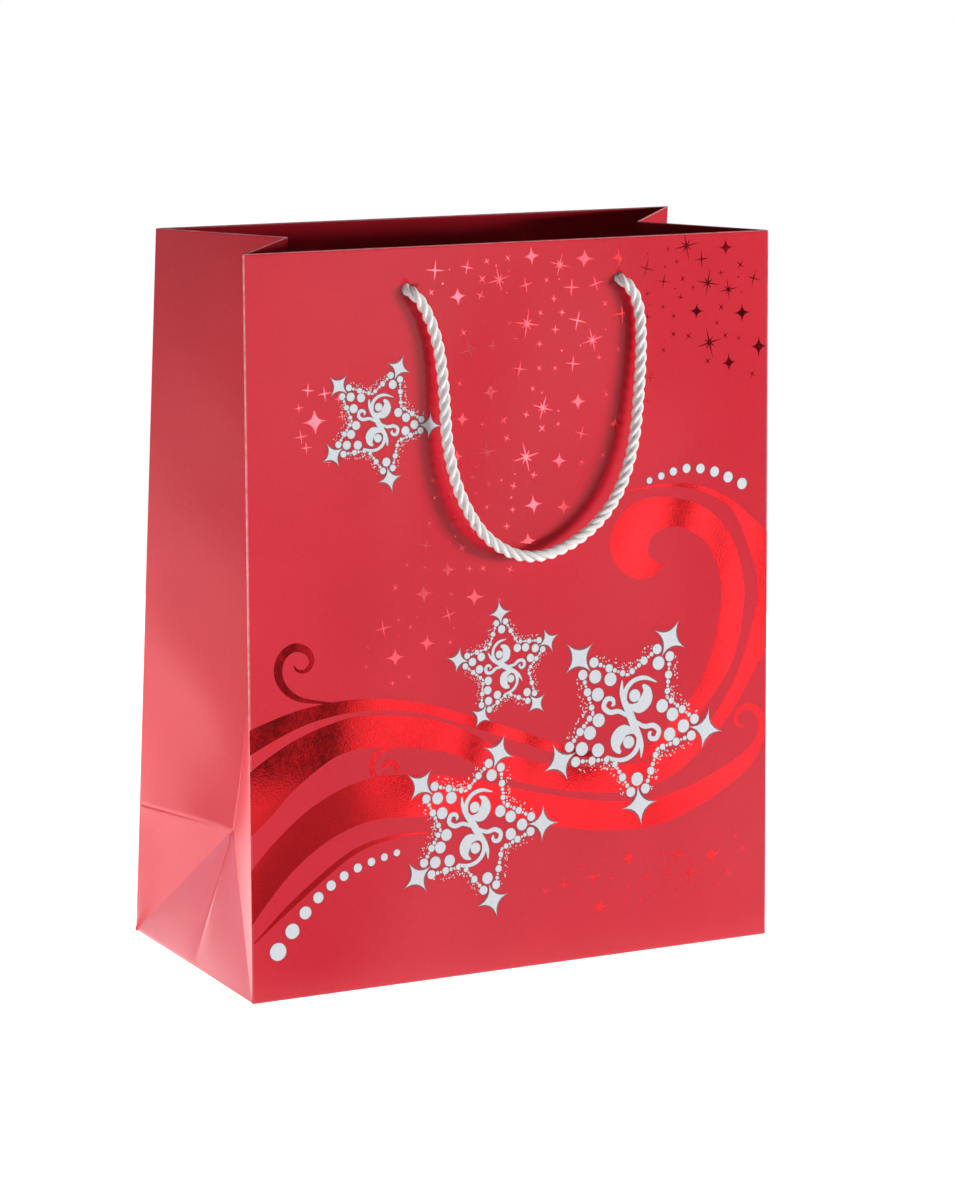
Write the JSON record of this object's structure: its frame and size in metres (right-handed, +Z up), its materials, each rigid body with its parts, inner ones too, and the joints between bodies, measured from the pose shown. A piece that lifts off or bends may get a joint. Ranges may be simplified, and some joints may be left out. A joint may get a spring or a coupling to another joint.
{
  "type": "gift bag",
  "caption": "Upright rectangular paper gift bag with creased side gussets, turned-in rim, loose base board and knotted rope handles that swing.",
  "frame": {"origin": "middle of the base, on the surface that the bag stands on", "axes": "+Z up from the base to the mouth; +X along the width; -Y is the side of the printed front panel"},
  "size_m": [0.26, 0.1245, 0.32],
  "materials": {
    "printed_card": "satin laminate over red print, with white and red foil decoration on the front",
    "turned_in_card": "satin laminate, the same sheet turned in",
    "board": "matte uncoated board",
    "rope": "glossy twisted synthetic rope",
    "white_print": "pale printed ink under laminate",
    "red_foil": "hot stamped metallic foil"
  },
  "bodies": {
    "root": {"front_panel": "printed_card", "back_panel": "printed_card", "left_gusset_front": "printed_card", "left_gusset_back": "printed_card", "right_gusset_front": "printed_card", "right_gusset_back": "printed_card", "left_gusset_foot": "printed_card", "right_gusset_foot": "printed_card", "front_hem": "turned_in_card", "back_hem": "turned_in_card", "left_hem_front": "turned_in_card", "left_hem_back": "turned_in_card", "right_hem_front": "turned_in_card", "right_hem_back": "turned_in_card", "side_seam_lap": "turned_in_card", "front_bottom_flap": "printed_card", "back_bottom_flap": "printed_card", "left_bottom_flap": "printed_card", "right_bottom_flap": "printed_card", "front_top_strip": "board", "back_top_strip": "board", "base_board": "board", "front_left_knot": "rope", "front_right_knot": "rope", "back_left_knot": "rope", "back_right_knot": "rope"},
    "front_handle": {"front_rope_loop": "rope"},
    "back_handle": {"back_rope_loop": "rope"}
  },
  "joints": [
    {"name": "front_handle_swing", "type": "hinge", "parent": "root", "child": "front_handle", "pos_m": [0, -0.04323, 0.30227], "axis": [-1, 0, 0], "range_deg": [0, 170]},
    {"name": "back_handle_swing", "type": "hinge", "parent": "root", "child": "back_handle", "pos_m": [0, 0.05267, 0.30215], "axis": [1, 0, 0], "range_deg": [0, 170]}
  ]
}
